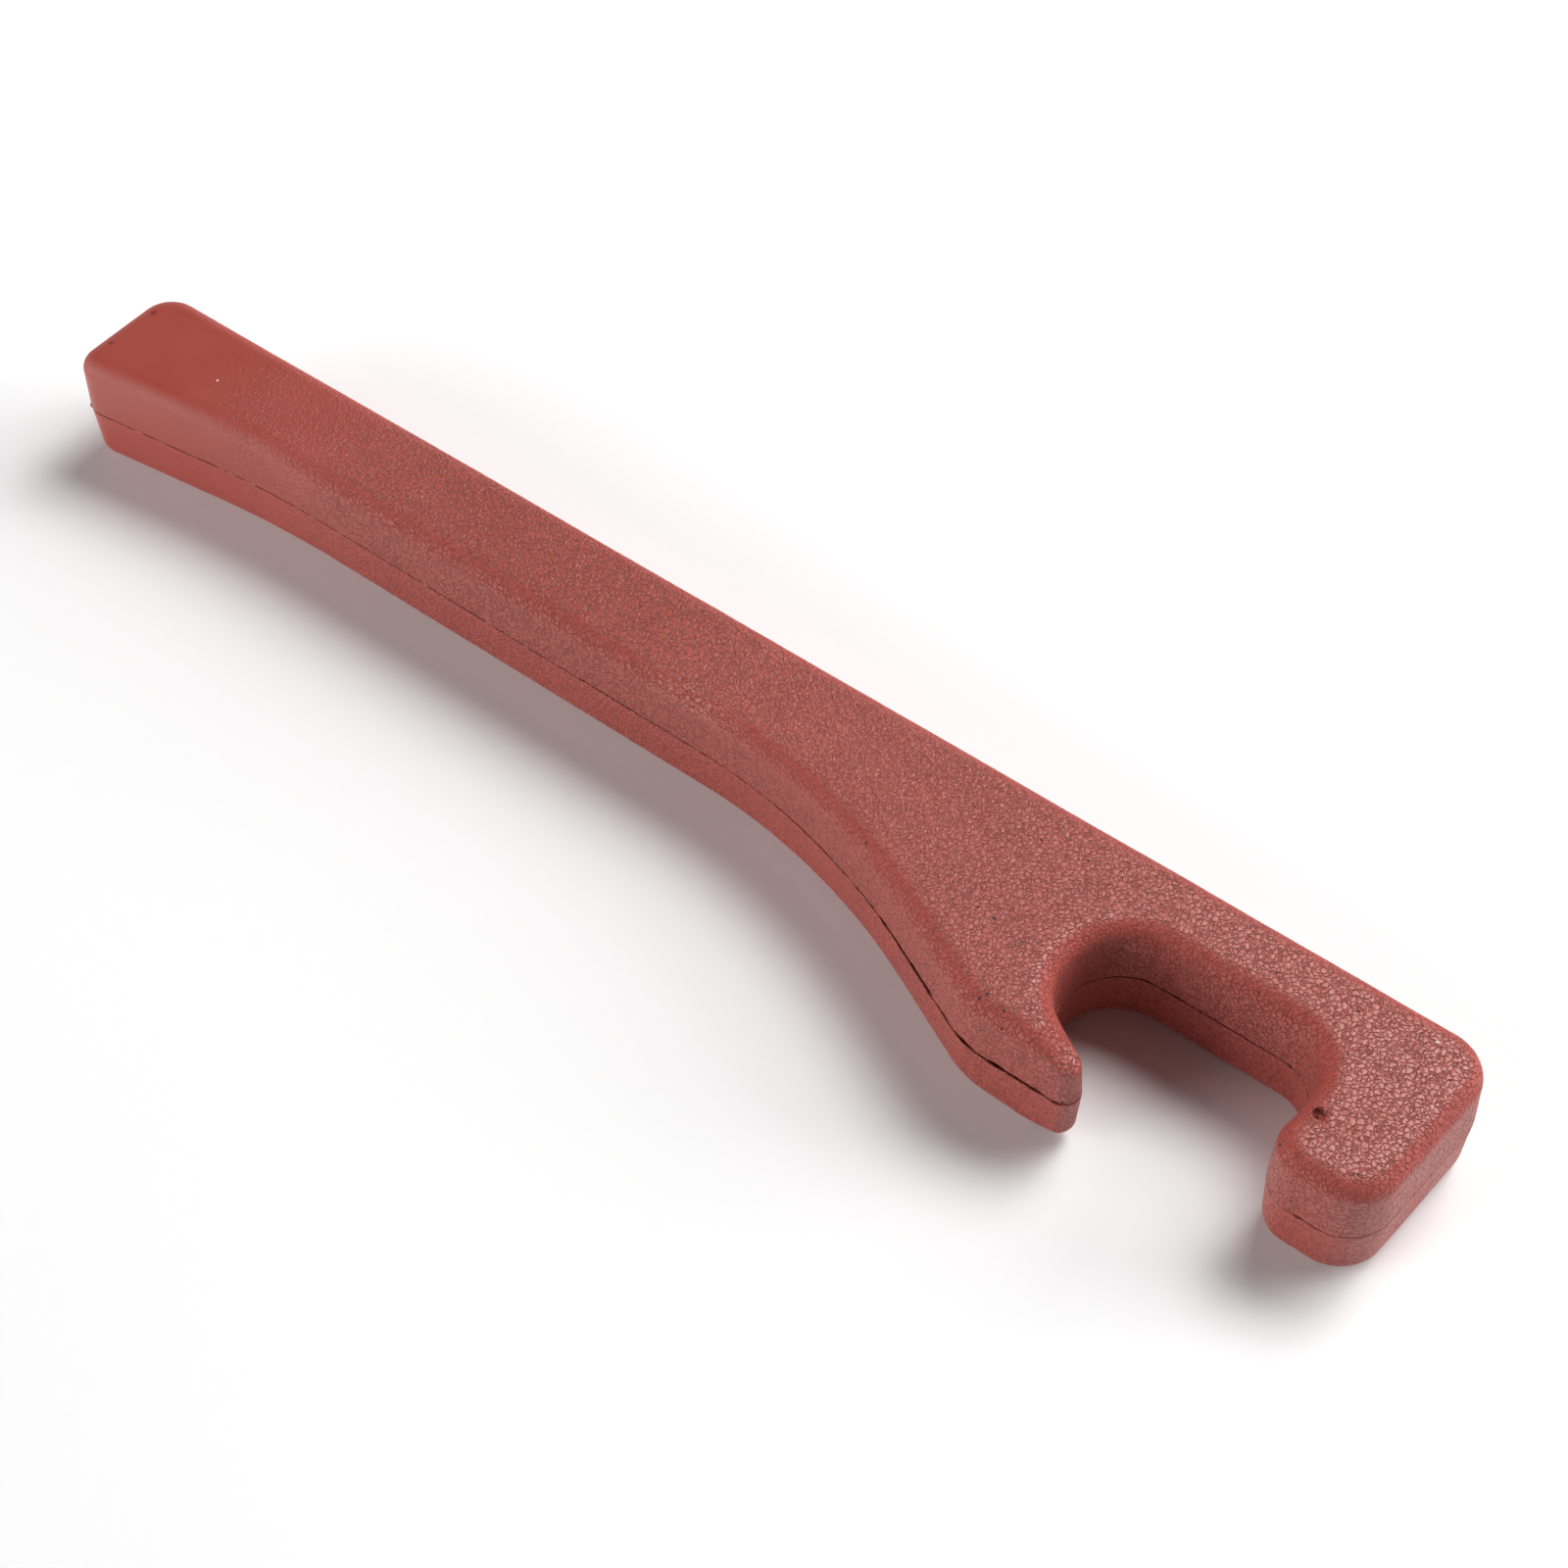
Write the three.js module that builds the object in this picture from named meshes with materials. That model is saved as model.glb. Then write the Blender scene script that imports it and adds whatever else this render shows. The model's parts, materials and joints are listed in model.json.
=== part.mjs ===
// Car seat gap filler: a long soft bar of moulded polyurethane foam with a leather-grained skin.
// It lies flat here: +X runs from the narrow end to the hooked end, +Y points to the long straight
// back edge, +Z is up, and the origin is on the resting face at the middle of the bounding box.
// In a car it lies this way up in the gap between a seat and the console: the straight back edge presses
// on the console, the mouth of the notch faces the seat, and the buckle stalk stands through the notch.
import * as THREE from "three";

// overall size, mm
const LENGTH = 450;
const WIDTH = 66;
const THICKNESS = 38;

// moulding details, mm
const SKIN = 1.4;
const GAP = 0.3;
const EDGE_RADIUS = 5.5;
const TIP_EDGE_RADIUS = 3.6;
const DRAFT_SLOPE = 0.045;
const ARC_STEP = THREE.MathUtils.degToRad(10);
const EDGE_STEPS = 4;

// outline, mm, measured from the middle of the bounding box
const END = LENGTH / 2;
const BACK = WIDTH / 2;
const FRONT = -WIDTH / 2;
const HANDLE_FRONT = 0.4;
const HEEL_FRONT = -8;
const NOTCH_LEFT = 126;
const NOTCH_RIGHT = 192;
const NOTCH_FLOOR = 10.4;
const TOE_FRONT = -24.5;

// corners of the outline, counter-clockwise, each with the radius that rounds it;
// edge is the radius of the rolled edge along the top and bottom faces there
const CORNERS = [
  { x: -END + 0.5, y: BACK, radius: 11 },
  { x: -END - 0.4, y: HEEL_FRONT, radius: 7 },
  { x: -156, y: HANDLE_FRONT + 0.4, radius: 360 },
  { x: 45, y: HANDLE_FRONT - 0.4, radius: 185 },
  { x: 113.5, y: FRONT, radius: 30 },
  { x: 163.5, y: FRONT, radius: 4.6, edge: TIP_EDGE_RADIUS },
  { x: NOTCH_LEFT, y: -17.5, radius: 15 },
  { x: NOTCH_LEFT, y: NOTCH_FLOOR, radius: 17 },
  { x: NOTCH_RIGHT, y: NOTCH_FLOOR, radius: 13.5 },
  { x: NOTCH_RIGHT - 0.4, y: -9.5, radius: 36 },
  { x: 189, y: TOE_FRONT, radius: 10 },
  { x: 221, y: TOE_FRONT, radius: 13.5 },
  { x: END + 0.4, y: BACK, radius: 13 },
];

// Walks round the corners and gives the points of the rounded outline, each with its outward
// normal and its rolled edge radius.
function roundedOutline(corners) {
  const count = corners.length;
  const points = [];
  corners.forEach((corner, index) => {
    const here = new THREE.Vector2(corner.x, corner.y);
    const last = corners[(index + count - 1) % count];
    const next = corners[(index + 1) % count];
    const arriving = here.clone().sub(new THREE.Vector2(last.x, last.y)).normalize();
    const leaving = new THREE.Vector2(next.x, next.y).sub(here).normalize();
    const turn = Math.atan2(arriving.cross(leaving), arriving.dot(leaving));
    const side = Math.sign(turn);
    const start = here.clone().addScaledVector(arriving, -corner.radius * Math.tan(Math.abs(turn) / 2));
    const outward = new THREE.Vector2(arriving.y, -arriving.x);
    const centre = start.clone().addScaledVector(outward, -side * corner.radius);
    const steps = Math.max(2, Math.ceil(Math.abs(turn) / ARC_STEP));
    for (let step = 0; step <= steps; step += 1) {
      const normal = outward.clone().rotateAround(new THREE.Vector2(), (turn * step) / steps);
      const point = centre.clone().addScaledVector(normal, side * corner.radius);
      points.push({ point, normal, edge: corner.edge ?? EDGE_RADIUS });
    }
  });
  return points;
}

// One ring of the surface that lies `depth` below the moulded surface, `side` +1 for the upper half
// and -1 for the lower half. roll runs from 0 where the side wall ends to 1 on the flat face.
function edgeRing(outline, depth, side, roll) {
  return outline.map(({ point, normal, edge }) => {
    const wall = THICKNESS / 2 - edge;
    const radius = edge - depth;
    const angle = (roll * Math.PI) / 2;
    const inset = DRAFT_SLOPE * wall + depth + radius * (1 - Math.cos(angle));
    const height = wall + radius * Math.sin(angle);
    return ringPoint(point, normal, inset, side * height);
  });
}

// The ring of the same surface near the parting plane, at the given height above or below it.
function partingRing(outline, depth, height) {
  const inset = depth + DRAFT_SLOPE * Math.abs(height);
  return outline.map(({ point, normal }) => ringPoint(point, normal, inset, height));
}

function ringPoint(point, normal, inset, height) {
  return new THREE.Vector3(
    point.x - normal.x * inset,
    point.y - normal.y * inset,
    THICKNESS / 2 + height,
  );
}

// All rings of one half from the parting plane to its flat face.
function halfRings(outline, depth, side) {
  const rings = [partingRing(outline, depth, (side * GAP) / 2)];
  for (let step = 0; step <= EDGE_STEPS; step += 1) {
    rings.push(edgeRing(outline, depth, side, step / EDGE_STEPS));
  }
  return rings;
}

// Closed solid through a stack of equal rings, listed from bottom to top, with both ends capped.
function stackedSolid(rings) {
  const count = rings[0].length;
  const positions = rings.flat().flatMap((vertex) => [vertex.x, vertex.y, vertex.z]);
  const indices = [];
  for (let level = 0; level < rings.length - 1; level += 1) {
    for (let i = 0; i < count; i += 1) {
      const next = (i + 1) % count;
      const low = level * count;
      const high = low + count;
      indices.push(low + i, low + next, high + next);
      indices.push(low + i, high + next, high + i);
    }
  }
  const bottom = THREE.ShapeUtils.triangulateShape(rings[0], []);
  const top = THREE.ShapeUtils.triangulateShape(rings.at(-1), []);
  const topStart = (rings.length - 1) * count;
  bottom.forEach(([a, b, c]) => indices.push(a, c, b));
  top.forEach(([a, b, c]) => indices.push(topStart + a, topStart + b, topStart + c));
  const geometry = new THREE.BufferGeometry();
  geometry.setAttribute("position", new THREE.Float32BufferAttribute(positions, 3));
  geometry.setIndex(indices);
  geometry.computeVertexNormals();
  return geometry;
}

// A tray of skin: the moulded surface outside, the foam side SKIN below it, open at the parting plane.
function skinHalf(outline, side) {
  const outer = halfRings(outline, 0, side);
  const inner = halfRings(outline, SKIN, side);
  const rings = [...inner.toReversed(), ...outer];
  return stackedSolid(side > 0 ? rings : rings.toReversed());
}

// The foam that fills both trays.
function foamCore(outline) {
  const depth = SKIN + GAP;
  const lower = halfRings(outline, depth, -1).slice(1);
  const middle = partingRing(outline, depth, 0);
  const upper = halfRings(outline, depth, 1).slice(1);
  return stackedSolid([...lower.toReversed(), middle, ...upper]);
}

function namedPart(name, geometry, color, roughness) {
  const material = new THREE.MeshStandardMaterial({ color, roughness, metalness: 0 });
  const mesh = new THREE.Mesh(geometry, material);
  mesh.name = name;
  return mesh;
}

const outline = roundedOutline(CORNERS);
const gapFiller = new THREE.Group();
gapFiller.add(namedPart("upper_skin", skinHalf(outline, 1), 0xa5544b, 0.55));
gapFiller.add(namedPart("lower_skin", skinHalf(outline, -1), 0x9c4d45, 0.55));
gapFiller.add(namedPart("foam_core", foamCore(outline), 0x7a3a34, 0.95));

export default gapFiller;
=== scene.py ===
import json
import math
import random

import bmesh
import bpy
import numpy as np
from mathutils import Matrix, Vector, noise
from mathutils.geometry import delaunay_2d_cdt


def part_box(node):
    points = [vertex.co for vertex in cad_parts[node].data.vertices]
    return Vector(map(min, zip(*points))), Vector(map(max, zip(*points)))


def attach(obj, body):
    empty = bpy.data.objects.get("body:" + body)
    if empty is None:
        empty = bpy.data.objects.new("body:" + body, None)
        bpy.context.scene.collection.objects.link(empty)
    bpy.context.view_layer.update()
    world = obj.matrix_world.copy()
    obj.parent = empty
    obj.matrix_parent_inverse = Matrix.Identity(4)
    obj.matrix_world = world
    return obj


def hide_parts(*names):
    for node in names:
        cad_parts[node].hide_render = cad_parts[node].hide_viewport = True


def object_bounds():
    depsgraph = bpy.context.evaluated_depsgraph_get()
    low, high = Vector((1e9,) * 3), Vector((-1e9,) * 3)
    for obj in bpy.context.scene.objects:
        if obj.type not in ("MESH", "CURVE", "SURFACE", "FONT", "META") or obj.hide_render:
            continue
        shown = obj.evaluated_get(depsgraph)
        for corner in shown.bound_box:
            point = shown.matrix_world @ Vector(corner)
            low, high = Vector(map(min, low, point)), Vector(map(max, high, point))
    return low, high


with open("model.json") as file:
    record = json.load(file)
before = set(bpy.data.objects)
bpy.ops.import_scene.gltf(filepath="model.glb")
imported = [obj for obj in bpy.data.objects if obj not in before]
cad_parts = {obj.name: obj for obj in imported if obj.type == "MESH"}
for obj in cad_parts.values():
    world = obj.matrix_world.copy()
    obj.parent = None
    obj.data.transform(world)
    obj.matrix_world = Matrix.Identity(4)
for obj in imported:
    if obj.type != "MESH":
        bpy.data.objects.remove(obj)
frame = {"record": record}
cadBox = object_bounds()
mm = 0.001
seamLevel = (cadBox[0].z + cadBox[1].z) / 2


# camera: where it aims, from which side, how far off and how long the lens is
cameraView = {
    "aim": (0.0287, 0.0051, 0.019),
    "azimuth": -50.87,
    "elevation": 52.02,
    "roll": -1.74,
    "distance": 0.7456,
    "lens": 64.97,
}


def placeCamera(view):
    azimuth, elevation, roll = (math.radians(view[key]) for key in ("azimuth", "elevation", "roll"))
    back = Vector((
        math.cos(elevation) * math.cos(azimuth),
        math.cos(elevation) * math.sin(azimuth),
        math.sin(elevation),
    ))
    level = Vector((0, 0, 1)).cross(back).normalized()
    right = math.cos(roll) * level + math.sin(roll) * back.cross(level)
    data = bpy.data.cameras.new("camera")
    data.lens = view["lens"]
    data.clip_start = 0.01
    camera = bpy.data.objects.new("camera", data)
    bpy.context.scene.collection.objects.link(camera)
    turn = Matrix((right, back.cross(right), back)).transposed().to_4x4()
    camera.matrix_world = Matrix.Translation(Vector(view["aim"]) + back * view["distance"]) @ turn
    bpy.context.scene.camera = camera


placeCamera(cameraView)
print("camera placed")


# shader maths: a Term is one output socket, and arithmetic on it adds Math nodes
class Term:
    def __init__(self, maker, socket):
        self.maker = maker
        self.socket = socket

    def join(self, operation, first, second):
        return self.maker.add("ShaderNodeMath", {"operation": operation}, {0: first, 1: second})

    def __add__(self, other):
        return self.join("ADD", self, other)

    def __sub__(self, other):
        return self.join("SUBTRACT", self, other)

    def __rsub__(self, other):
        return self.join("SUBTRACT", other, self)

    def __mul__(self, other):
        return self.join("MULTIPLY", self, other)

    def __gt__(self, other):
        return self.join("GREATER_THAN", self, other)

    __radd__ = __add__
    __rmul__ = __mul__

    def size(self):
        return self.join("ABSOLUTE", self, 0.0)


class Finish:
    def __init__(self, name):
        self.material = bpy.data.materials.new(name)
        self.material.use_nodes = True
        self.nodes = self.material.node_tree.nodes
        self.links = self.material.node_tree.links
        self.nodes.clear()

    # settings come first, then sockets by name or number, as values or Terms
    def add(self, kind, settings, inputs, out=0):
        node = self.nodes.new(kind)
        for key, value in settings.items():
            setattr(node, key, value)
        for key, value in inputs.items():
            if isinstance(value, Term):
                self.links.new(value.socket, node.inputs[key])
            else:
                node.inputs[key].default_value = value
        return Term(self, node.outputs[out]) if len(node.outputs) else None

    # smooth step from 0 at `low` to 1 at `high`
    def fade(self, value, low, high):
        inputs = {"Value": value, "From Min": low, "From Max": high}
        return self.add("ShaderNodeMapRange", {"interpolation_type": "SMOOTHSTEP"}, inputs)

    def mix(self, factor, first, second):
        inputs = {0: factor, 6: first, 7: second}
        return self.add("ShaderNodeMix", {"data_type": "RGBA"}, inputs, 2)

    def cloud(self, where, scale, detail=2.0, roughness=0.5):
        inputs = {"Vector": where, "Scale": scale, "Detail": detail, "Roughness": roughness}
        return self.add("ShaderNodeTexNoise", {}, inputs, "Fac")

    def cells(self, where, scale, feature, out, randomness=1.0):
        inputs = {"Vector": where, "Scale": scale, "Randomness": randomness}
        return self.add("ShaderNodeTexVoronoi", {"feature": feature}, inputs, out)

    def vector(self, operation, first, second):
        return self.add("ShaderNodeVectorMath", {"operation": operation}, {0: first, 1: second})

    # turned about the vertical, in degrees
    def turned(self, where, angle):
        inputs = {0: where, "Angle": math.radians(angle)}
        return self.add("ShaderNodeVectorRotate", {"rotation_type": "Z_AXIS"}, inputs)

    # distance in metres from a place given in millimetres
    def apart(self, where, place):
        inputs = {0: where, 1: [value * mm for value in place]}
        return self.add("ShaderNodeVectorMath", {"operation": "DISTANCE"}, inputs, "Value")

    def scaled(self, where, amount):
        inputs = {0: where, "Scale": amount}
        return self.add("ShaderNodeVectorMath", {"operation": "SCALE"}, inputs)

    def finish(self, inputs):
        surface = self.add("ShaderNodeBsdfPrincipled", {}, inputs)
        self.add("ShaderNodeOutputMaterial", {}, {"Surface": surface})
        return self.material


skinLook = {
    "red": (0.395, 0.074, 0.054, 1),
    "deepRed": (0.350, 0.061, 0.043, 1),
    "lowHalfShadeRed": (0.420, 0.060, 0.042, 1),
    "edgeShadeRed": (0.360, 0.042, 0.028, 1),
    "endRed": (0.330, 0.054, 0.038, 1),
    "creaseShadeRed": (0.190, 0.028, 0.020, 1),
    "holeShadowRed": (0.040, 0.009, 0.008, 1),
    "dust": (0.90, 0.72, 0.66, 1),
    "scuff": (0.66, 0.34, 0.29, 1),
    "barCells": 690.0,
    "hookCells": 740.0,
    "pinCells": 420.0,
    "grainDepth": 0.27 * mm,
    "roughness": 0.40,
    "specular": 0.65,
    "grainStart": (-0.205, -0.09),
    "hookStart": (-0.03, 0.12),
    "seamHalf": (0.10 * mm, 0.32 * mm),
    "rollStart": (13.5 * mm, 16.5 * mm),
    "rollEnd": (18.95 * mm, 18.4 * mm),
    "rubPlace": (0.0, 2.6, 36.0),
    "rubReach": (0.001, 0.0055),
}

# single marks on the skin: where they are, how large, and which colour they take
skinMarks = [
    ((-183.1, 12.2, 38.0), 0.6, "dust"),
    ((209.3, 25.4, 38.0), 0.7, "dust"),
    ((-219.3, 4.6, 37.8), 1.4, "creaseShadeRed"),
    ((-218.4, 21.2, 37.9), 1.6, "creaseShadeRed"),
    # near-black spots: painted shade in single pinholes
    ((-194.5, -5.6, 34.0), 0.6, "holeShadowRed"),
    ((-178.3, -2.6, 34.0), 0.8, "holeShadowRed"),
    ((138.7, 27.7, 38.0), 0.7, "holeShadowRed"),
    ((111.5, -31.0, 36.0), 0.7, "holeShadowRed"),
    # painted shade in the blow hole's pit
    ((197.0, -8.4, 37.2), 2.3, "creaseShadeRed"),
]
# where the pinholes crowd
pinClusters = [((124.0, -31.5, 33.0), 15.0), ((113.0, -13.4, 38.0), 9.0), ((100.0, -5.0, 38.0), 8.0)]


def skinMaterial(name, look):
    f = Finish(name)
    here = f.add("ShaderNodeTexCoord", {}, {}, "Object")
    along = f.add("ShaderNodeSeparateXYZ", {}, {0: here}, 0)
    level = f.add("ShaderNodeSeparateXYZ", {}, {0: here}, 2)
    wobble = f.add("ShaderNodeTexNoise", {}, {"Vector": here, "Scale": 800.0, "Detail": 1.0}, "Color")
    bent = f.vector("ADD", here, f.scaled(f.vector("SUBTRACT", wobble, (0.5, 0.5, 0.5)), 1.5 * mm))

    # the grain is polished away at the narrow end, slants a little along the bar and is even at the hook
    grown = f.fade(along + (f.cloud(here, 22.0) - 0.5) * 0.08, *look["grainStart"])
    hooked = f.fade(along + (f.cloud(here, 16.0) - 0.5) * 0.10, *look["hookStart"])
    broken = f.fade(f.cloud(here, 600.0, 1.0), 0.38, 0.52)
    strokes = f.vector("MULTIPLY", f.turned(here, 25.0), (0.8, 1.0, 1.0))
    bentStrokes = f.vector("ADD", strokes, f.vector("SUBTRACT", bent, here))
    barLine = 1 - f.fade(f.cells(bentStrokes, look["barCells"], "DISTANCE_TO_EDGE", "Distance"), 0.0, 0.20)
    hookLine = 1 - f.fade(f.cells(bent, look["hookCells"], "DISTANCE_TO_EDGE", "Distance"), 0.0, 0.16)
    crease = (barLine * (1 - hooked) + hookLine * hooked) * (0.55 + 0.45 * broken) * grown
    pebble = f.cells(bent, look["hookCells"], "SMOOTH_F1", "Distance") * 0.35 * grown

    # pinholes, scattered and in clusters, painted near-black as painted shade inside them
    pinDistance = f.cells(here, look["pinCells"], "F1", "Distance")
    pinPlace = f.cells(here, look["pinCells"], "F1", "Position")
    chance = f.add("ShaderNodeTexWhiteNoise", {"noise_dimensions": "3D"}, {"Vector": pinPlace}, "Value")
    crowd = f.fade(f.cloud(here, 30.0, 1.0), 0.55, 0.75) * 0.05
    for place, reach in pinClusters:
        crowd = crowd + (1 - f.fade(f.apart(here, place), 0.2 * reach * mm, reach * mm)) * 0.35
    pit = (1 - f.fade(pinDistance, 0.10, 0.24)) * (chance > (0.985 - crowd)) * f.fade(along, -0.10, 0.02)

    mottled = f.cloud(here, 60.0, 3.0, 0.5)
    broad = f.cloud(here, 9.0, 2.0)
    color = f.mix(f.fade(mottled * 0.5 + broad * 0.5, 0.36, 0.62), look["deepRed"], look["red"])
    color = f.mix((1 - grown) * 0.7, color, look["endRed"])
    # painted shade: the grain creases are darkened in colour as well as sunk by the bump
    color = f.mix(crease * 0.75, color, look["creaseShadeRed"])

    # the parting line gets a thin dark line of painted shadow where the skins part, and below it the lower
    # half is painted a deeper red as painted shade, where it catches less sheen
    seam = 1 - f.fade((level - seamLevel).size(), *look["seamHalf"])
    seam = seam * f.fade(f.cloud(here, 240.0, 2.0), 0.30, 0.50) * (1 - 0.7 * f.fade(along, 0.185, 0.20))
    # painted shade: the lower half is painted a deeper, more saturated red where it catches less sheen
    color = f.mix(f.fade(level, seamLevel + 0.3 * mm, seamLevel - 0.3 * mm) * 0.35, color, look["lowHalfShadeRed"])
    # painted shadow along the parting line
    color = f.mix(seam * 0.6, color, look["holeShadowRed"])

    # the last of the rolled edge, next to the flat face, is duller and painted deeper in colour, as painted
    # shade where the edge catches no sheen
    raised = level - seamLevel
    rolled = f.fade(raised, *look["rollStart"]) * f.fade(raised, *look["rollEnd"])
    color = f.mix(rolled * 0.75, color, look["edgeShadeRed"])

    # pale rub marks along the rolled front edge of the bar
    streak = f.cloud(f.vector("MULTIPLY", here, (0.4, 1.0, 1.0)), 2200.0, 1.0)
    drawnOut = f.vector("MULTIPLY", here, (0.22, 1.0, 1.0))
    rubbed = 1 - f.fade(f.apart(drawnOut, look["rubPlace"]), *look["rubReach"])
    scuff = f.fade(streak, 0.52, 0.66) * rubbed
    color = f.mix(scuff * 0.55, color, look["scuff"])
    # painted shade in the pinholes
    color = f.mix(pit, color, look["holeShadowRed"])
    for place, size, tint in skinMarks:
        spot = 1 - f.fade(f.apart(here, place), 0.45 * size * mm, 0.75 * size * mm)
        color = f.mix(spot * 0.85, color, look[tint])

    height = pebble * -1.0 - crease - pit * 1.5 - seam * 0.8 + f.cloud(here, 1400.0, 1.0) * 0.10
    bump = f.add("ShaderNodeBump", {}, {"Strength": 1.0, "Distance": look["grainDepth"], "Height": height})
    rough = look["roughness"] + (mottled - 0.5) * 0.16 + crease * 0.2 + rolled * 0.22
    return f.finish({
        "Base Color": color,
        "Roughness": rough,
        "Normal": bump,
        "Specular IOR Level": look["specular"],
    })


foamLook = {
    "light": (0.26, 0.070, 0.050, 1),
    "dark": (0.045, 0.012, 0.010, 1),
    "bubbles": 700.0,
    "bubbleDepth": 0.4 * mm,
}


def foamMaterial(name, look):
    f = Finish(name)
    here = f.add("ShaderNodeTexCoord", {}, {}, "Object")
    bubble = f.fade(f.cells(here, look["bubbles"], "F1", "Distance"), 0.15, 0.60)
    small = f.fade(f.cells(here, look["bubbles"] * 2.3, "F1", "Distance"), 0.1, 0.5)
    wall = bubble * 0.7 + small * 0.3
    bump = f.add("ShaderNodeBump", {}, {"Strength": 1.0, "Distance": look["bubbleDepth"], "Height": wall})
    return f.finish({
        # painted shade: the hollows of the bubbles are painted dark and the walls between them light
        "Base Color": f.mix(wall, look["dark"], look["light"]),
        "Roughness": 0.95 - wall * 0.1,
        "Normal": bump,
    })


def floorMaterial(name):
    f = Finish(name)
    here = f.add("ShaderNodeTexCoord", {}, {}, "Object")
    tone = f.mix(f.cloud(here, 3.0), (0.93, 0.93, 0.93, 1), (0.96, 0.96, 0.96, 1))
    return f.finish({"Base Color": tone, "Roughness": 0.9, "Specular IOR Level": 0.1})


# the outline of the bar, from the frame's box and the stated openings of the buckle notch
def opening(name):
    box = next(o["box_m"] for o in frame["record"]["physics"]["openings"] if o["name"] == name)
    return Vector(box[0]), Vector(box[1])


barShape = {
    "edge": 5.5 * mm,
    "tipEdge": 3.6 * mm,
    "draft": 0.045,
    "skin": 1.4 * mm,
    "lip": 0.30 * mm,
    "torn": 0.75 * mm,
    "spacing": 0.9 * mm,
    "capSpacing": 1.5 * mm,
}


def outlineCorners(shape):
    low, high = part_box("upper_skin")
    slotLow, slotHigh = opening("buckle_slot")
    bayLow, _ = opening("buckle_slot_bay")
    front, back = low.y, high.y
    notchLeft = bayLow.x - 4.5 * mm
    notchRight = slotHigh.x + 5 * mm
    notchFloor = slotHigh.y + 4.4 * mm
    toe = front + 8.5 * mm
    edge = shape["edge"]
    return [  # x, y, corner radius, radius of the rolled edge
        (low.x + 0.7 * mm, back, 11 * mm, edge),
        (low.x - 0.2 * mm, front + 25 * mm, 7 * mm, edge),
        (low.x + 69.2 * mm, front + 33.8 * mm, 360 * mm, edge),
        (low.x + 270.2 * mm, front + 33 * mm, 185 * mm, edge),
        (slotLow.x - 35.5 * mm, front, 30 * mm, edge),
        (slotLow.x + 14.5 * mm, front, 4.6 * mm, shape["tipEdge"]),
        (notchLeft, bayLow.y - 1 * mm, 15 * mm, edge),
        (notchLeft, notchFloor, 17 * mm, edge),
        (notchRight, notchFloor, 13.5 * mm, edge),
        (notchRight - 0.4 * mm, slotHigh.y - 15.5 * mm, 36 * mm, edge),
        (slotHigh.x + 2 * mm, toe, 10 * mm, edge),
        (high.x - 3.4 * mm, toe, 13.5 * mm, edge),
        (high.x + 1 * mm, back, 13 * mm, edge),
    ]


# points of the rounded outline with outward normals and edge radii, evenly spaced
def roundedOutline(corners, spacing):
    points, normals, edges = [], [], []
    count = len(corners)
    arcs = []
    for index, (x, y, radius, edge) in enumerate(corners):
        here = Vector((x, y))
        arriving = (here - Vector(corners[index - 1][:2])).normalized()
        leaving = (Vector(corners[(index + 1) % count][:2]) - here).normalized()
        turn = math.atan2(arriving.cross(leaving), arriving.dot(leaving))
        side = math.copysign(1, turn)
        outward = Vector((arriving.y, -arriving.x))
        start = here - arriving * radius * math.tan(abs(turn) / 2)
        arcs.append((start - outward * side * radius, side * radius, outward, turn, edge))
    for index, (centre, radius, outward, turn, edge) in enumerate(arcs):
        steps = max(6, math.ceil(abs(turn * radius) / spacing))
        for step in range(steps):
            normal = Matrix.Rotation(turn * step / steps, 2) @ outward
            points.append(centre + normal * radius)
            normals.append(normal)
            edges.append(edge)
        nextCentre, nextRadius, normal, _, nextEdge = arcs[(index + 1) % count]
        end = centre + normal * radius
        start = nextCentre + normal * nextRadius
        steps = max(1, math.ceil((start - end).length / spacing))
        for step in range(steps):
            points.append(end.lerp(start, step / steps))
            normals.append(normal)
            edges.append(edge + (nextEdge - edge) * step / steps)
    return np.array(points), np.array(normals), np.array(edges)


# places where the two skins stand apart: where, how far each way, how high, how finely torn
seamGaps = [
    {"near": (-44.0, 4.0), "reach": 45 * mm, "height": 1.8 * mm, "broken": 0.0, "tear": 300},
    {"near": (18.0, 43.0), "reach": 40 * mm, "height": 0.35 * mm, "broken": 1.0, "tear": 900},
    {"near": (57.0, 8.0), "reach": 4 * mm, "height": 1.0 * mm, "broken": 0.0, "tear": 400},
    {"near": (-160.0, 33.0), "reach": 75 * mm, "height": 0.35 * mm, "broken": 0.7, "tear": 300},
]


# how far the skins stand apart at each outline point; gaps are placed from the notch and the front
def seamOpening(points, gaps):
    start = np.array((opening("buckle_slot")[0].x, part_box("upper_skin")[0].y))
    steps = np.linalg.norm(np.roll(points, -1, 0) - points, axis=1)
    run = np.concatenate([[0], np.cumsum(steps)[:-1]])
    total = steps.sum()
    opened = np.zeros(len(points))
    for gap in gaps:
        middle = run[np.linalg.norm(points - start - np.array(gap["near"]) * mm, axis=1).argmin()]
        apart = np.abs((run - middle + total / 2) % total - total / 2) / gap["reach"]
        for index in np.flatnonzero(apart < 1):
            ragged = 0.5 + 0.5 * noise.noise(Vector((run[index] * gap["tear"], 0.4, gap["reach"] * 90)))
            whole = (1 - apart[index] ** 2) ** 0.5
            held = min(1.0, max(0.0, (ragged - 0.42 * gap["broken"]) * (1.2 + 2.2 * gap["broken"])))
            opened[index] = max(opened[index], gap["height"] * whole * held)
    return opened


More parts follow.
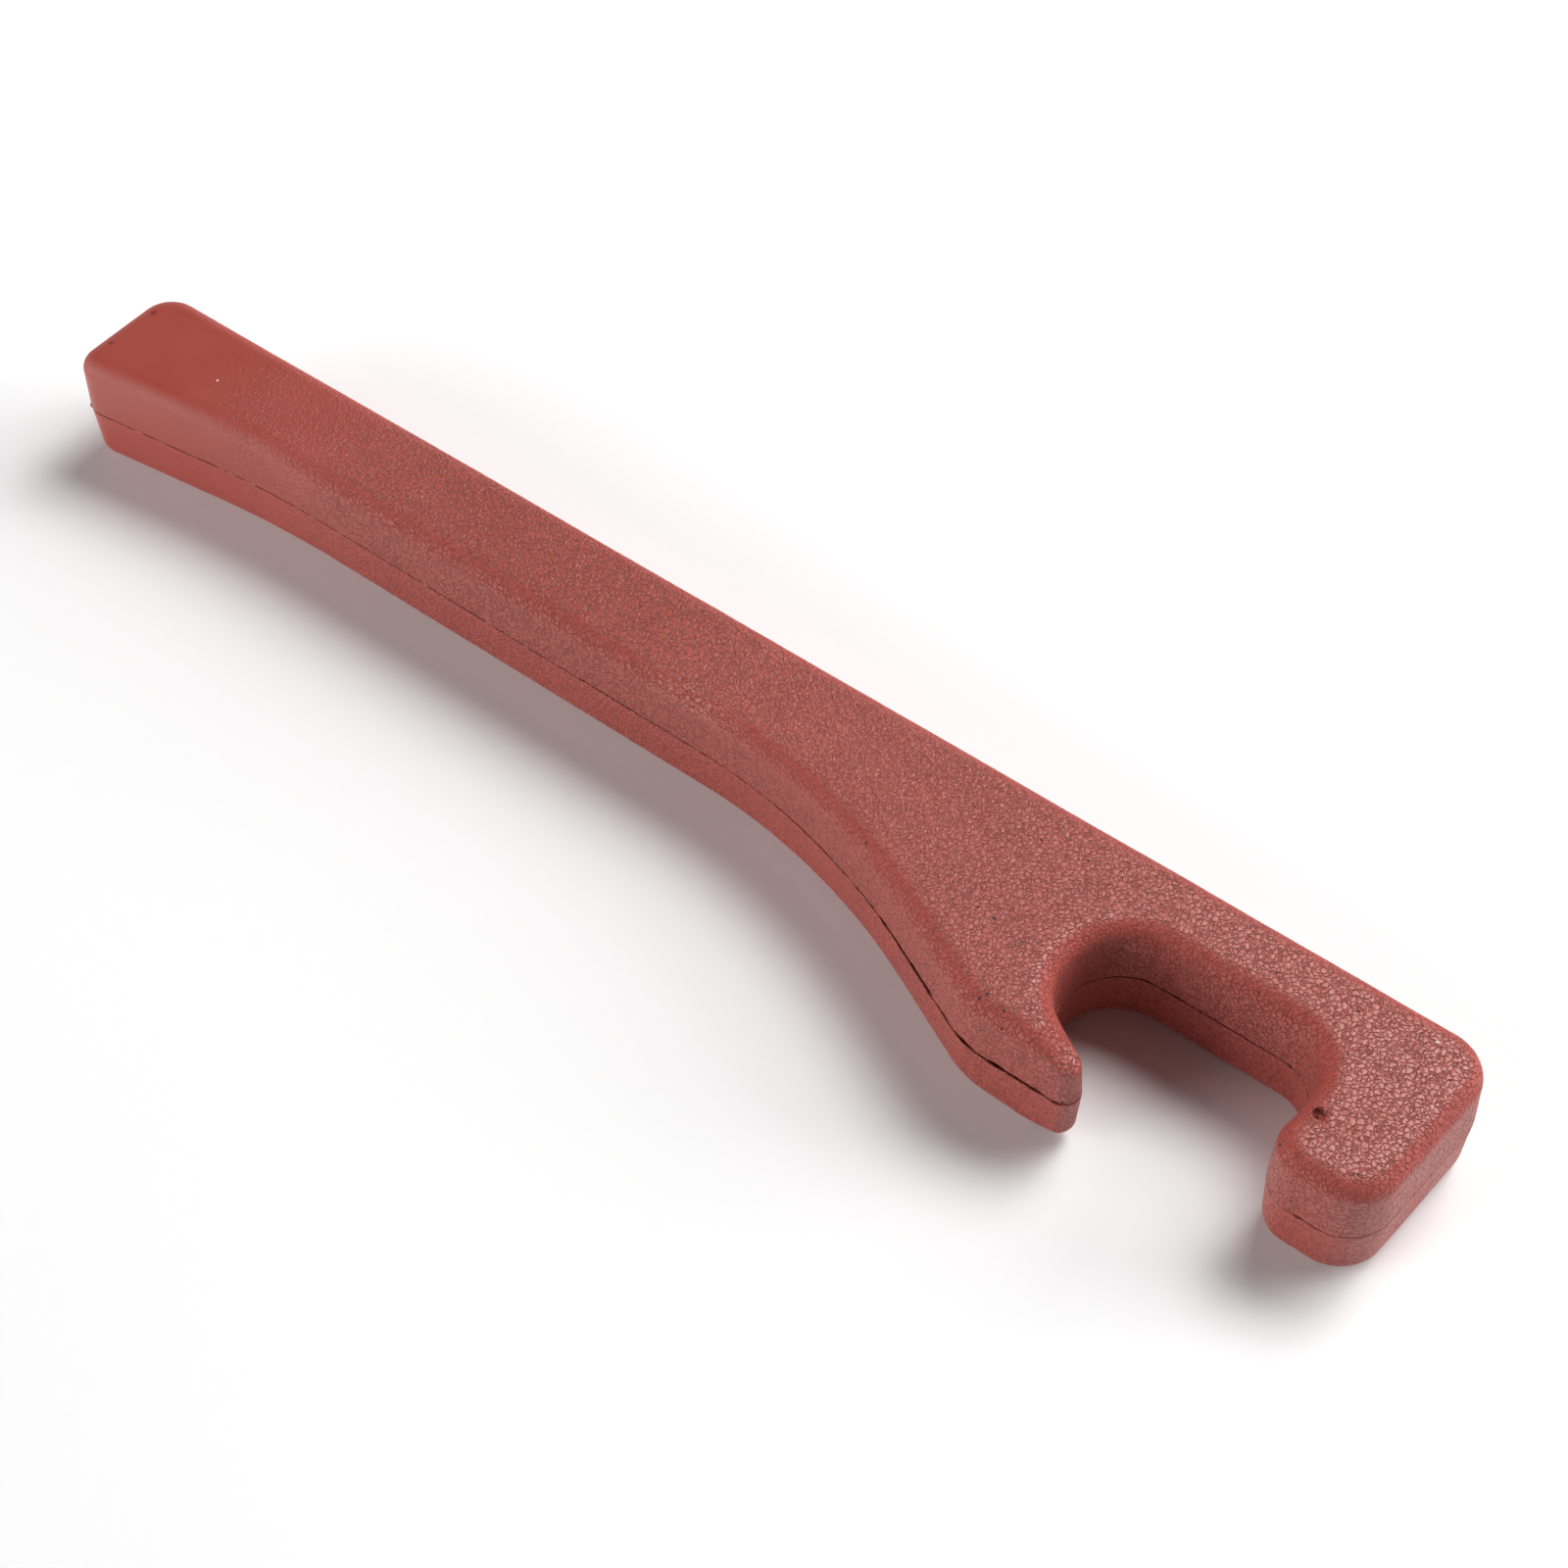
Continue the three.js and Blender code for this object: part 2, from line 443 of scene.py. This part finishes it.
class CoverRings:
    def __init__(self, shape, side):
        self.shape = shape
        self.side = side
        low, high = cadBox
        self.middle = (low.z + high.z) / 2
        self.half = (high.z - low.z) / 2
        self.points, self.normals, self.edges = roundedOutline(outlineCorners(shape), shape["spacing"])
        self.opened = seamOpening(self.points, seamGaps)
        # the lower skin sinks away from a gap, the upper one hardly lifts but draws in
        self.rim = 0.05 * mm + self.opened * (0.3 if side > 0 else 0.7)
        self.drawn = self.opened * (0.25 if side > 0 else 0.0)

    def ring(self, inset, height):
        flat = self.points - self.normals * np.asarray(inset)[..., None]
        level = self.middle + self.side * height
        return np.column_stack([flat, np.broadcast_to(level, len(flat))])

    # ring on the rolled edge, `depth` below the outside; roll goes from 0 on the wall to 1 on the face
    def rolled(self, depth, roll):
        wall = self.half - self.edges
        radius = self.edges - depth
        angle = roll * math.pi / 2
        inset = self.shape["draft"] * wall + depth + radius * (1 - math.cos(angle))
        return self.ring(inset, wall + radius * math.sin(angle))

    def lining(self):
        skin = self.shape["skin"]
        rings = [self.rolled(skin, roll) for roll in (1, 0.5, 0)]
        # the skin runs out thin where it's torn, so a gap looks deep
        thin = (skin - self.shape["torn"]) * np.minimum(1, self.opened / (0.5 * mm))
        rings.append(self.ring(np.full(len(thin), skin), 4.5 * mm))
        return rings + [self.ring(skin - thin + self.drawn, self.rim)]

    def outside(self):
        shape = self.shape
        lip = shape["lip"]
        rings = []
        for angle in (0, math.pi / 6, math.pi / 3):
            inset = lip * (1 - math.sin(angle))
            rings.append(self.ring(inset + self.drawn, self.rim + lip * (1 - math.cos(angle))))
        wall = self.half - self.edges
        start = self.rim + lip
        steps = round(float(wall.max()) / shape["spacing"])
        for step in range(steps):
            share = step / steps
            height = start + (wall - start) * share
            rings.append(self.ring(shape["draft"] * height + self.drawn * (1 - share) ** 2, height))
        steps = round(shape["edge"] * math.pi / 2 / shape["spacing"]) + 1
        return rings + [self.rolled(0, step / steps) for step in range(steps + 1)]


prongTip = {"x": 147 * mm, "y": -28.4 * mm, "reach": 17 * mm, "above": 0.36, "below": 0.18}


# the prong thins out towards its tip, so everything there comes closer to the parting plane
def taperTip(bm, tip):
    middle = (cadBox[0].z + cadBox[1].z) / 2
    for vertex in bm.verts:
        apart = math.hypot(vertex.co.x - tip["x"], vertex.co.y - tip["y"]) / tip["reach"]
        if apart < 1:
            drop = tip["above"] if vertex.co.z > middle else tip["below"]
            vertex.co.z -= (vertex.co.z - middle) * drop * (1 - apart * apart) ** 2


# triangles inside a ring, with evenly scattered points inside it, so the face can be shaped
def capTriangles(ring, spacing, level):
    boundary = [Vector(p[:2]) for p in ring]
    low, high = ring[:, :2].min(0), ring[:, :2].max(0)
    xs = np.arange(low[0], high[0], spacing)
    ys = np.arange(low[1], high[1], spacing * 0.866)
    grid = np.array([(x + (row % 2) * spacing / 2, y) for row, y in enumerate(ys) for x in xs])
    near = np.full(len(grid), np.inf)
    for point in ring[::2, :2]:
        near = np.minimum(near, ((grid - point) ** 2).sum(1))
    inner = [Vector(p) for p in grid[near > (0.7 * spacing) ** 2]]
    found = delaunay_2d_cdt(boundary + inner, [], [list(range(len(boundary)))], 1, 1e-9)
    corners, _, triangles, origins = found[:4]
    names = [ids[0] for ids in origins]
    used = sorted({names[i] for triangle in triangles for i in triangle if names[i] >= len(boundary)})
    place = {name: len(boundary) + at for at, name in enumerate(used)}
    place.update({name: name for name in range(len(boundary))})
    points = [(*inner[name - len(boundary)], level) for name in used]
    return points, [[place[names[i]] for i in triangle] for triangle in triangles]


unevenness = {"swell": 0.16 * mm, "swellScale": 26.0, "ripple": 0.05 * mm, "rippleScale": 130.0}


# soft unevenness of the moulded face, along the given normal
def settle(bm, shape, seed):
    moves = []
    for vertex in bm.verts:
        where = vertex.co + Vector((seed, 0, 0))
        amount = shape["swell"] * noise.noise(where * shape["swellScale"])
        amount += shape["ripple"] * noise.noise(where * shape["rippleScale"])
        moves.append(vertex.normal * amount)
    return moves


def coverMesh(name, side, seed):
    rings = CoverRings(barShape, side)
    lining, outside = rings.lining(), rings.outside()
    count = len(rings.points)
    stack = lining + outside
    bm = bmesh.new()
    verts = [bm.verts.new(p) for ring in stack for p in ring]
    for level in range(len(stack) - 1):
        for i in range(count):
            j = (i + 1) % count
            a, b = level * count + i, level * count + j
            quad = [verts[a], verts[b], verts[b + count], verts[a + count]]
            bm.faces.new(quad if side > 0 else quad[::-1])
    for ring, at, spacing, up in (
        (lining[0], 0, 3 * barShape["capSpacing"], -side),
        (outside[-1], (len(stack) - 1) * count, barShape["capSpacing"], side),
    ):
        points, triangles = capTriangles(ring, spacing, ring[0][2])
        corners = verts[at:at + count] + [bm.verts.new(p) for p in points]
        for triangle in triangles:
            face = [corners[i] for i in triangle]
            bm.faces.new(face if up > 0 else face[::-1])
    bm.normal_update()
    outer = set(verts[len(lining) * count:]) | set(corners[count:])
    low, high = cadBox
    for vertex, move in zip(bm.verts, settle(bm, unevenness, seed)):
        if vertex in outer:
            vertex.co += move
            vertex.co.z = min(max(vertex.co.z, low.z), high.z + 0.2 * mm)
    taperTip(bm, prongTip)
    return bm


# the foam inside both skins, one body with a bubbly surface
def foamMesh(depth, seed):
    halves = [CoverRings(barShape, side) for side in (-1, 1)]
    lower, upper = ([half.rolled(depth, roll) for roll in (1, 0.5, 0)] for half in halves)
    flat = np.full(len(halves[1].points), depth)
    torn = depth + 2.5 * mm * np.minimum(1, halves[1].opened / (0.5 * mm))
    stack = lower + [halves[0].ring(flat, 4 * mm), halves[0].ring(torn, 1.5 * mm)]
    stack += [halves[1].ring(torn, 1.5 * mm), halves[1].ring(flat, 4 * mm)] + upper[::-1]
    count = len(flat)
    bm = bmesh.new()
    verts = [bm.verts.new(p) for ring in stack for p in ring]
    for level in range(len(stack) - 1):
        for i in range(count):
            a, b = level * count + i, level * count + (i + 1) % count
            bm.faces.new([verts[a], verts[b], verts[b + count], verts[a + count]])
    for ring, at, up in ((stack[0], 0, -1), (stack[-1], (len(stack) - 1) * count, 1)):
        points, triangles = capTriangles(ring, 2 * barShape["capSpacing"], ring[0][2])
        corners = verts[at:at + count] + [bm.verts.new(p) for p in points]
        for triangle in triangles:
            face = [corners[i] for i in triangle]
            bm.faces.new(face if up > 0 else face[::-1])
    bm.normal_update()
    for vertex in bm.verts:
        vertex.co -= vertex.normal * 0.12 * mm * abs(noise.noise(vertex.co * 800 + Vector((seed, 0, 0))))
    taperTip(bm, prongTip)
    return bm


blowHole = {"x": 197.2 * mm, "y": -8.4 * mm, "radius": 1.8 * mm, "depth": 1.5 * mm, "rim": 0.15 * mm}


# a burst bubble: a round pit with a low stump left in it and a slightly raised rim
def pressHole(bm, hole, top):
    centre = Vector((hole["x"], hole["y"], top))
    reach = hole["radius"] * 1.6
    near = [e for e in bm.edges if all((v.co - centre).length < reach for v in e.verts)]
    bmesh.ops.subdivide_edges(bm, edges=near, cuts=5, use_grid_fill=True)
    bmesh.ops.triangulate(bm, faces=[f for f in bm.faces if len(f.verts) > 4])
    bm.normal_update()
    for vertex in bm.verts:
        share = (vertex.co - centre).length / hole["radius"]
        if share < 1:
            well = 1 - share ** 6
            aside = (vertex.co - centre - Vector((0.3, -0.3, 0)) * mm).length
            stump = 0.5 * math.exp(-(aside / (0.8 * mm)) ** 2)
            vertex.co.z -= hole["depth"] * (well - stump)
        elif share < 1.5:
            vertex.co.z += hole["rim"] * math.sin(math.pi * (share - 1) / 0.5)


def addPiece(name, bm, material):
    mesh = bpy.data.meshes.new(name)
    bm.to_mesh(mesh)
    bm.free()
    mesh.materials.append(material)
    mesh.shade_smooth()
    piece = bpy.data.objects.new(name, mesh)
    bpy.context.scene.collection.objects.link(piece)
    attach(piece, "root")
    return piece


skin = skinMaterial("grained_skin", skinLook)

upper = coverMesh("upper_cover", 1, 0.0)
pressHole(upper, blowHole, cadBox[1].z)
upperCover = addPiece("upper_cover", upper, skin)
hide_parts("upper_skin")
lowerCover = addPiece("lower_cover", coverMesh("lower_cover", -1, 5.0), skin)
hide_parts("lower_skin")
print("covers made:", len(upperCover.data.polygons), len(lowerCover.data.polygons))


foam = foamMaterial("open_foam", foamLook)
filling = addPiece("foam_filling", foamMesh(barShape["skin"] + 0.3 * mm, 2.0), foam)
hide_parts("foam_core")
print("foam made:", len(filling.data.polygons))


# flash: what squeezed out between the mould halves, trimmed by hand and left ragged
flash = {
    "seed": 11,
    "thick": 0.22 * mm,
    "tall": 0.9 * mm,
    "pieces": 46,
    "shortest": 1.5 * mm,
    "longest": 7 * mm,
}


def flashTree(material):
    tree = bpy.data.node_groups.new("trimmed_flash", "GeometryNodeTree")
    face = tree.interface
    face.new_socket("Geometry", in_out="INPUT", socket_type="NodeSocketGeometry")
    for name in ("Thickness", "Height"):
        face.new_socket(name, in_out="INPUT", socket_type="NodeSocketFloat")
    face.new_socket("Geometry", in_out="OUTPUT", socket_type="NodeSocketGeometry")

    def node(kind, **settings):
        made = tree.nodes.new(kind)
        for key, value in settings.items():
            setattr(made, key, value)
        return made

    def link(source, output, target, socket):
        tree.links.new(source.outputs[output], target.inputs[socket])

    start = node("NodeGroupInput")
    end = node("NodeGroupOutput")
    toCurve = node("GeometryNodeMeshToCurve")
    taper = node("GeometryNodeInputNamedAttribute", data_type="FLOAT")
    taper.inputs["Name"].default_value = "taper"
    upright = node("GeometryNodeSetCurveNormal", mode="Z_UP")
    blade = node("GeometryNodeCurvePrimitiveQuadrilateral", mode="RECTANGLE")
    sweep = node("GeometryNodeCurveToMesh")
    sweep.inputs["Fill Caps"].default_value = True
    realize = node("GeometryNodeRealizeInstances")
    paint = node("GeometryNodeSetMaterial")
    paint.inputs["Material"].default_value = material
    link(start, "Geometry", toCurve, 0)
    link(toCurve, 0, upright, "Curve")
    link(start, "Height", blade, "Width")
    link(start, "Thickness", blade, "Height")
    link(upright, 0, sweep, "Curve")
    link(taper, "Attribute", sweep, "Scale")
    link(blade, 0, sweep, "Profile Curve")
    link(sweep, 0, realize, 0)
    link(realize, 0, paint, "Geometry")
    link(paint, 0, end, 0)
    return tree


# short runs of the parting line, most of them in the notch, where the knife doesn't reach
def flashRuns(points, shape):
    random.seed(shape["seed"])
    count = len(points)
    slotLow, slotHigh = opening("buckle_slot")
    inNotch = [
        i for i, (x, y) in enumerate(points)
        if slotLow.x - 20 * mm < x < slotHigh.x + 8 * mm and -6 * mm < y < slotHigh.y + 6 * mm
    ]
    # one nub stays on the narrow end
    nub = np.linalg.norm(points - (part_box("upper_skin")[0].x, -6 * mm), axis=1).argmin()
    runs = [([(nub + step) % count for step in range(4)], 1.6)]
    for piece in range(shape["pieces"]):
        first = random.choice(inNotch) if piece % 3 else random.randrange(count)
        length = random.uniform(shape["shortest"], shape["longest"])
        steps = max(3, round(length / barShape["spacing"]))
        height = random.uniform(0.35, 1.0) if first in inNotch else random.uniform(0.15, 0.4)
        runs.append(([(first + step) % count for step in range(steps + 1)], height))
    return runs


def flashStrips(shape, material):
    points, normals, _ = roundedOutline(outlineCorners(barShape), barShape["spacing"])
    middle = (cadBox[0].z + cadBox[1].z) / 2
    coords, edges, tapers = [], [], []
    for run, height in flashRuns(points, shape):
        for at, index in enumerate(run):
            if at:
                edges.append((len(coords) - 1, len(coords)))
            lean = 0.12 * mm * noise.noise(Vector((index * 0.21, 3.1, 0)))
            coords.append((*(points[index] - normals[index] * 0.1 * mm), middle + lean))
            bite = 0.75 + 0.5 * noise.noise(Vector((index * 0.45, 0.7, 0)))
            tapers.append(height * bite * math.sin(math.pi * (at + 0.35) / (len(run) - 0.3)))
    mesh = bpy.data.meshes.new("flash_path")
    mesh.from_pydata(coords, edges, [])
    mesh.attributes.new("taper", "FLOAT", "POINT").data.foreach_set("value", tapers)
    path = bpy.data.objects.new("flash_path", mesh)
    bpy.context.scene.collection.objects.link(path)
    modifier = path.modifiers.new("flash", "NODES")
    modifier.node_group = flashTree(material)
    sizes = {"Thickness": shape["thick"], "Height": shape["tall"]}
    for socket in modifier.node_group.interface.items_tree:
        if socket.in_out == "INPUT" and socket.name in sizes:
            modifier[socket.identifier] = sizes[socket.name]
    shown = path.evaluated_get(bpy.context.evaluated_depsgraph_get())
    solid = bpy.data.meshes.new_from_object(shown)
    bpy.data.objects.remove(path)
    strips = bpy.data.objects.new("trimmed_flash", solid)
    bpy.context.scene.collection.objects.link(strips)
    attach(strips, "root")
    return strips


strips = flashStrips(flash, skin)
print("flash made:", len(strips.data.polygons))


# studio: pale floor and soft lights
studio = {
    "floor": 4.0,
    "ambient": 0.02,
    "horizonLight": 0.75,
    "horizon": 0.06,
    "dome": 0.42,
    "lights": [  # name, from where, how large, how strong
        ("back_right", (1.62, 1.59, 0.84), 1.4, 36.0),
        ("back", (0.15, 1.25, 2.05), 1.2, 27.0),
        ("overhead", (0.62, 1.42, 1.86), 1.4, 26.0),
        ("front_left", (-1.9, -2.3, 0.55), 2.6, 84.0),
        ("front", (-0.8, -2.6, 0.8), 3.0, 9.0),
    ],
}


# the room is pale at the horizon and dark overhead, so that the lights alone shape the top face
def shadeWorld(tree, look):
    where = tree.nodes.new("ShaderNodeTexCoord")
    height = tree.nodes.new("ShaderNodeSeparateXYZ")
    fall = tree.nodes.new("ShaderNodeMapRange")
    fall.interpolation_type = "SMOOTHSTEP"
    fall.inputs["From Min"].default_value = look["horizon"]
    fall.inputs["From Max"].default_value = look["dome"]
    fall.inputs["To Min"].default_value = look["horizonLight"]
    fall.inputs["To Max"].default_value = look["ambient"]
    tree.links.new(where.outputs["Generated"], height.inputs[0])
    tree.links.new(height.outputs["Z"], fall.inputs["Value"])
    tree.nodes["Background"].inputs["Color"].default_value = (1, 1, 1, 1)
    tree.links.new(fall.outputs["Result"], tree.nodes["Background"].inputs["Strength"])


def makeStudio(look):
    half = look["floor"] / 2
    mesh = bpy.data.meshes.new("floor")
    corners = [(-half, -half, 0), (half, -half, 0), (half, half, 0), (-half, half, 0)]
    mesh.from_pydata(corners, [], [(0, 1, 2, 3)])
    mesh.materials.append(floorMaterial("pale_floor"))
    floor = bpy.data.objects.new("floor", mesh)
    bpy.context.scene.collection.objects.link(floor)
    world = bpy.data.worlds.new("studio")
    world.use_nodes = True
    shadeWorld(world.node_tree, look)
    bpy.context.scene.world = world
    for name, place, size, power in look["lights"]:
        data = bpy.data.lights.new(name, "AREA")
        data.shape = "DISK"
        data.size = size
        data.energy = power
        lamp = bpy.data.objects.new(name, data)
        lamp.location = place
        lamp.rotation_euler = (Vector(place) - Vector(cameraView["aim"])).to_track_quat("Z", "Y").to_euler()
        bpy.context.scene.collection.objects.link(lamp)


makeStudio(studio)
bpy.context.scene.view_settings.view_transform = "Standard"
print("studio lit")
